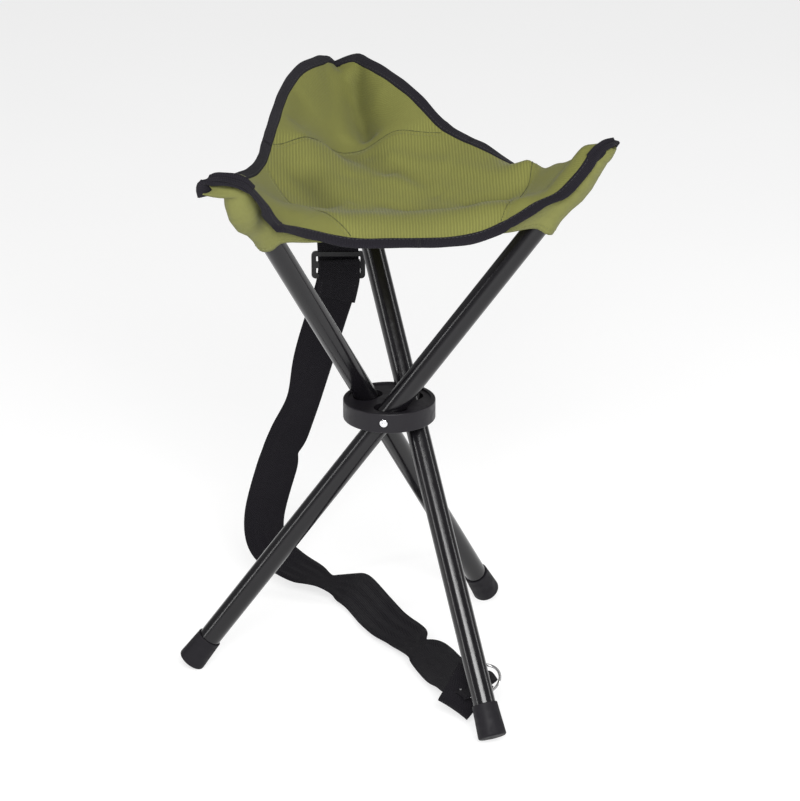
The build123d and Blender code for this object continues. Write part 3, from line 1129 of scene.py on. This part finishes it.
    def tip(self) -> bpy.types.Object:
        """Wrap the corner's tip in its doubled tape."""
        line = flowing([point for point, _, _ in self.tip_route], 24)
        across = flowing([tuple(1000 * w for w in width) for _, width, _ in self.tip_route], 24)
        stops = np.linspace(0, 1, len(self.tip_route))
        widths = np.interp(np.linspace(0, 1, 24), stops, [w for _, _, w in self.tip_route])
        section = flat_section(0.010, 0.0052, 9)
        points, faces, uv = band_mesh(line, across, section, widths)
        piece = new_piece(f"tip_tape_wrap_{self.corner.label}", points, faces, uv, self.finishes.get("tape"))
        face_outwards(piece)
        return piece

    def build(self) -> None:
        """Build the pouch, its cuff and its tip, and bake their placement into their meshes."""
        pouch, cuff, tip = self.pouch(), self.cuff(), self.tip()
        for piece in (pouch, cuff, tip):
            self.sling.bend(piece, self.corner)
        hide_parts(f"corner_pocket_{self.corner.label}")
        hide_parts(f"tip_tape_{self.corner.label}")
        LOG.info("pouch, cuff stitches and wrapped tip of the %s corner", self.corner.label)


# ---------------------------------------------------------------- strap


@dataclass
class CarryStrap:
    """The webbing strap that hangs from the back corner and trails on the floor."""

    finishes: Finishes
    width: float = 0.038
    thickness: float = 0.0018
    route: list[tuple[Point, Point]] = field(default_factory=lambda: [
        ((3, 205.5, 514), (0.96, -0.28, 0)), ((4, 206, 450), (0.96, -0.28, 0)),
        ((7, 203.5, 385), (0.96, -0.28, 0)), ((9, 200.5, 334), (0.96, -0.28, 0)),
        ((9.5, 201, 306), (0.95, -0.28, 0.14)), ((-2, 207, 267), (0.95, -0.28, 0.1)),
        ((-25, 210, 191), (0.95, -0.28, 0)), ((-41, 211, 147), (0.95, -0.28, -0.1)),
        ((-57, 212, 98), (0.95, -0.28, -0.1)), ((-65, 211, 66), (0.95, -0.2, -0.05)),
        ((-63, 206, 43), (0.88, 0.1, 0.2)), ((-48, 197, 29), (0.68, 0.6, 0.4)),
        ((-36, 188, 22), (0.67, 0.68, 0.28)), ((-24, 179, 18), (0.68, 0.7, 0.2)),
        ((-11, 170, 14), (0.6, 0.76, 0.1)), ((-1, 158, 14), (0.72, 0.6, 0.3)),
        ((7, 136, 17), (0.72, 0.25, 0.65)), ((10, 108, 16), (0.72, 0.25, 0.6)),
        ((12, 82, 15), (0.74, 0.35, 0.5)), ((18, 57, 12), (0.75, 0.45, 0.3)),
        ((27, 36, 11), (0.7, 0.6, 0.25)), ((33, 8, 12), (0.8, 0.35, 0.2)),
        ((34, -24, 14), (0.8, 0.3, 0.3)), ((33, -58, 19), (0.72, 0.3, 0.5)),
        ((34, -86, 22), (0.75, 0.1, 0.5)), ((39, -107, 28), (0.82, -0.1, 0.42)),
        ((44, -124, 34), (0.86, -0.25, 0.4)), ((44, -137, 33), (0.87, -0.25, 0.42)),
    ])
    tab_route: list[tuple[Point, Point]] = field(default_factory=lambda: [
        ((22, -110, 32), (0.82, -0.27, 0.5)), ((33, -125, 29), (0.82, -0.27, 0.5)),
        ((43, -137, 20.5), (0.82, -0.27, 0.5)),
    ])
    flap_route: list[tuple[Point, Point]] = field(default_factory=lambda: [
        ((9, 196.5, 326), (0.96, -0.28, 0)), ((9.5, 196, 312), (0.96, -0.28, 0.08)),
        ((8, 199.5, 298), (0.95, -0.28, 0.12)), ((6, 202.5, 286), (0.95, -0.28, 0.12)),
    ])

    pinches: list[tuple[float, float, float, float]] = field(default_factory=lambda: [
        (0.385, 0.17, 0.035, 1.0), (0.44, 0.10, 0.012, -1.0), (0.635, 0.34, 0.018, -1.0),
        (0.825, 0.30, 0.016, -1.0), (0.93, 0.07, 0.02, 1.0), (1.0, 0.10, 0.02, 0.0),
    ])

    def spline(self, route: list[tuple[Point, Point]], shift: float) -> np.ndarray:
        """Read a smooth line from a route's own spline.

        Args:
            route: Points in millimetres, each with its width direction.
            shift: How far to the side the line runs, in metres.

        Returns:
            The line's points in metres.
        """
        curve = bpy.data.curves.new("strap route", "CURVE")
        curve.dimensions = "3D"
        curve.resolution_u = 14
        spline = curve.splines.new("NURBS")
        spline.points.add(len(route) - 1)
        for place, (point, width) in zip(spline.points, route):
            spot = Vector(point) * MM + Vector(width).normalized() * shift
            place.co = (*spot, 1.0)
        spline.order_u = 3
        spline.use_endpoint_u = True
        holder = bpy.data.objects.new("strap route", curve)
        mesh = bpy.data.meshes.new_from_object(holder)
        points = np.array([v.co[:] for v in mesh.vertices])
        bpy.data.meshes.remove(mesh)
        bpy.data.objects.remove(holder)
        bpy.data.curves.remove(curve)
        return points

    def crumple(self, line: np.ndarray, across: np.ndarray) -> tuple[np.ndarray, np.ndarray]:
        """Gather the webbing at its pinches, each as (share of length, depth, spread, side).

        Args:
            line: Middle points of the webbing.
            across: Unit direction of its width.

        Returns:
            The shifted middle line and the width factor at each point.
        """
        run = np.concatenate([[0], np.cumsum(np.linalg.norm(np.diff(line, axis=0), axis=1))])
        share = run / run[-1]
        factor, shift = np.ones(len(line)), np.zeros(len(line))
        through = np.cross(lengthwise(line), across)
        lift = 0.0009 * np.sin(share * 92) * np.sin(share * 31 + 1) * np.clip((share - 0.3) * 6, 0, 1)
        for at, depth, spread, edge in self.pinches:
            swell = np.exp(-(((share - at) / spread) ** 2))
            factor -= depth * swell
            shift += edge * depth * self.width / 2 * swell
            lift += 0.004 * depth * swell
        return line + across * shift[:, None] + through * lift[:, None], factor

    def band(
        self, name: str, route: list[tuple[Point, Point]], cup: float, gathered: bool = False,
    ) -> tuple[bpy.types.Object, np.ndarray]:
        """Weave one length of webbing along a route.

        Args:
            name: The piece's name.
            route: Points in millimetres, each with its width direction.
            cup: How far the edges stand off the middle, in metres.
            gathered: Whether the webbing narrows at its pinches.

        Returns:
            The webbing and its middle line.
        """
        line = self.spline(route, 0.0)
        beside = self.spline(route, 0.01)
        section = flat_section(self.width, self.thickness, 15, cup)
        across, middle, factor = unit(beside - line), line, np.ones(len(line))
        if gathered:
            middle, factor = self.crumple(line, across)
        points, faces, uv = band_mesh(middle, across, section, factor)
        piece = new_piece(name, points, faces, uv, self.finishes.get("strap"))
        face_outwards(piece)
        return piece, line

    def edge_rows(self, route: list[tuple[Point, Point]], first: int, last: int) -> list[np.ndarray]:
        """Two rows along the webbing's edges between two of its line's points."""
        line, beside = self.spline(route, 0.0)[first:last], self.spline(route, 0.01)[first:last]
        side = unit(beside - line)
        through = np.cross(lengthwise(line), side)
        return [line + side * s * 0.016 + through * t * 0.0012 for s in (1, -1) for t in (1, -1)]

    def build(self) -> None:
        """Build the webbing, its doubled end and its tab, and fix them to the back leg."""
        strap, line = self.band("carry_strap", self.route, 0.0011, gathered=True)
        flap, _ = self.band("strap_fold", self.flap_route, 0.0008)
        tab, _ = self.band("strap_tab", self.tab_route, 0.0006)
        sewn = Stitcher(0.0032, 0.0025, 0.0004).sew(
            "strap_stitches", self.edge_rows(self.flap_route, 12, 36),
            self.finishes.get("black_thread"),
        )
        for piece in (strap, flap, tab, sewn):
            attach(piece, "leg_back")
        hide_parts("strap_webbing", "strap_anchor_tab")
        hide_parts("strap_end_tab")
        self.finishes.dress("strap_slider", "slider")
        self.finishes.dress("strap_ring", "ring")
        length = float(np.linalg.norm(np.diff(line, axis=0), axis=1).sum())
        LOG.info("carry strap runs %.3f m", length)


# ---------------------------------------------------------------- frame and feet


@dataclass
class LegSet:
    """The legs, feet, plugs, hub and screws, which keep their own shapes."""

    finishes: Finishes

    def dress(self) -> None:
        """Give each part its finish."""
        self.finishes.dress("hub_body", "hub")
        for corner in Corner:
            name = corner.label
            self.finishes.dress(f"leg_tube_{name}", "tube")
            self.finishes.dress(f"foot_cap_{name}", "rubber")
            self.finishes.dress(f"top_plug_{name}", "plug")
            self.finishes.dress(f"pivot_screw_{name}", "screw")
            LOG.info("leg, foot, plug and screw of the %s corner", name)


# ---------------------------------------------------------------- studio


@dataclass
class Studio:
    """A pale floor, soft boxes and the camera."""

    target: Point = (9.1, -2.7, 259.8)
    azimuth: float = -16.31
    elevation: float = 21.12
    distance: float = 3.225
    lens: float = 163.85
    roll: float = -0.084

    def floor(self) -> None:
        """Lay the floor."""
        sheet = NodeSheet("studio floor")
        place = sheet.add("ShaderNodeTexCoord").outputs["Object"]
        cloud = sheet.noise(place, 3.0, 2.0)
        shade = sheet.blend(cloud, (0.41, 0.41, 0.41, 1), (0.43, 0.43, 0.43, 1))
        sheet.feed(sheet.shader.inputs["Base Color"], shade)
        sheet.shader.inputs["Roughness"].default_value = 0.9
        sheet.shader.inputs["Specular IOR Level"].default_value = 0.1
        sheet.shader.inputs["Emission Color"].default_value = (1, 1, 1, 1)
        sheet.shader.inputs["Emission Strength"].default_value = 0.64
        half = 12.0
        mesh = bpy.data.meshes.new("studio_floor")
        outline = [(-half, -half, 0), (half, -half, 0), (half, half, 0), (-half, half, 0)]
        mesh.from_pydata(outline, [], [(0, 1, 2, 3)])
        mesh.materials.append(sheet.material)
        piece = bpy.data.objects.new("studio_floor", mesh)
        bpy.context.collection.objects.link(piece)

    def lamp(self, name: str, place: Point, aim: Point, size: tuple[float, float], power: float) -> None:
        """Hang a soft box.

        Args:
            name: The lamp's name.
            place: Where it hangs, in metres.
            aim: What it faces.
            size: Its width and height.
            power: Its power in watts.
        """
        light = bpy.data.lights.new(name, "AREA")
        light.shape = "RECTANGLE"
        light.size, light.size_y = size
        light.energy = power
        holder = bpy.data.objects.new(name, light)
        holder.location = place
        holder.rotation_euler = (Vector(aim) - Vector(place)).to_track_quat("-Z", "Y").to_euler()
        bpy.context.collection.objects.link(holder)

    def camera(self) -> None:
        """Stand the camera."""
        a, e = radians(self.azimuth), radians(self.elevation)
        back = Vector((sin(a) * cos(e), -cos(a) * cos(e), sin(e)))
        data = bpy.data.cameras.new("camera")
        data.sensor_fit = "HORIZONTAL"
        data.sensor_width = 36.0
        data.lens = self.lens
        data.clip_end = 60.0
        holder = bpy.data.objects.new("camera", data)
        holder.location = Vector(self.target) * MM + back * self.distance
        aim = back.to_track_quat("Z", "Y").to_matrix()
        holder.rotation_euler = aim.to_euler()
        holder.rotation_euler.rotate_axis("Z", radians(self.roll))
        bpy.context.collection.objects.link(holder)
        bpy.context.scene.camera = holder
        LOG.info("camera at azimuth %.2f, elevation %.2f", self.azimuth, self.elevation)

    def build(self) -> None:
        """Build the floor, the lamps, the surroundings and the camera."""
        self.floor()
        self.lamp("key box", (-0.5, -2.4, 1.75), (0, 0, 0.4), (2.0, 1.0), 112)
        self.lamp("top box", (0.3, 0.3, 2.5), (0, 0, 0.3), (1.8, 1.8), 8)
        self.lamp("left strip", (-1.9, -0.1, 0.9), (0, 0, 0.3), (0.22, 1.8), 9)
        self.lamp("right strip", (1.9, -0.5, 0.9), (0, 0, 0.3), (0.2, 1.7), 8)
        world = bpy.data.worlds.new("studio")
        world.use_nodes = True
        ground = world.node_tree.nodes["Background"]
        ground.inputs["Color"].default_value = (1, 1, 1, 1)
        ground.inputs["Strength"].default_value = 0.28
        bpy.context.scene.world = world
        bpy.context.scene.view_settings.view_transform = "Standard"
        self.camera()


def main() -> None:
    """Build the stool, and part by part."""
    logging.basicConfig(level=logging.INFO, format="%(message)s")
    finishes = Finishes()
    Studio().build()
    LegSet(finishes).dress()
    CarryStrap(finishes).build()
    sling = SeatSling(finishes)
    sling.build()
    tips = {
        Corner.LEFT: [((-149, -110, 503), (0.5, 0, 1), 0.85), ((-159, -109, 510.5), (0.2, 0.1, 1), 1.15),
                      ((-170, -105, 512.5), (0.1, 0.2, 1), 1.15), ((-179, -100, 511.5), (0.4, 0.1, 1), 1.1),
                      ((-185, -97, 508), (1, 0, 0.7), 1.15), ((-186.5, -96, 503), (1, -0.1, 0.1), 1.3),
                      ((-185.5, -96, 497), (1, -0.2, 0), 1.3)],
        Corner.RIGHT: [((149, -101, 500), (-0.7, 0, 1), 1.1), ((156, -101, 506), (-0.6, 0, 1), 1.3),
                       ((164, -99, 511), (-0.5, 0.1, 1), 1.05), ((171, -100, 514), (-0.4, 0.1, 1), 0.65)],
        Corner.BACK: [((5, 184, 518), (1, 0, 0), 0.8), ((5, 191, 515), (1, 0, 0), 0.9),
                      ((5, 197, 508), (1, 0, 0), 1.0), ((5, 199, 496), (1, 0, 0), 1.0)],
    }
    CornerPouch(
        Corner.LEFT, finishes, sling, reach=0.073, bulge=[12.5, 19, 22, 21, 15.5, 13.2, 12.6],
        edge_share=0.74, waist=12.4, nose=6.5, tip_route=tips[Corner.LEFT], painted_dent_shade=0.9,
    ).build()
    CornerPouch(
        Corner.RIGHT, finishes, sling, reach=0.080, bulge=[12.3, 14, 16, 16, 13.5, 12.6, 14],
        edge_share=0.8, waist=13.5, nose=4.0, tip_route=tips[Corner.RIGHT],
    ).build()
    CornerPouch(
        Corner.BACK, finishes, sling, reach=0.085, bulge=[12.3, 14, 16, 16, 15, 14, 14],
        edge_share=0.8, waist=14.0, nose=4.0, tip_route=tips[Corner.BACK],
    ).build()


if __name__ == "__main__":
    main()
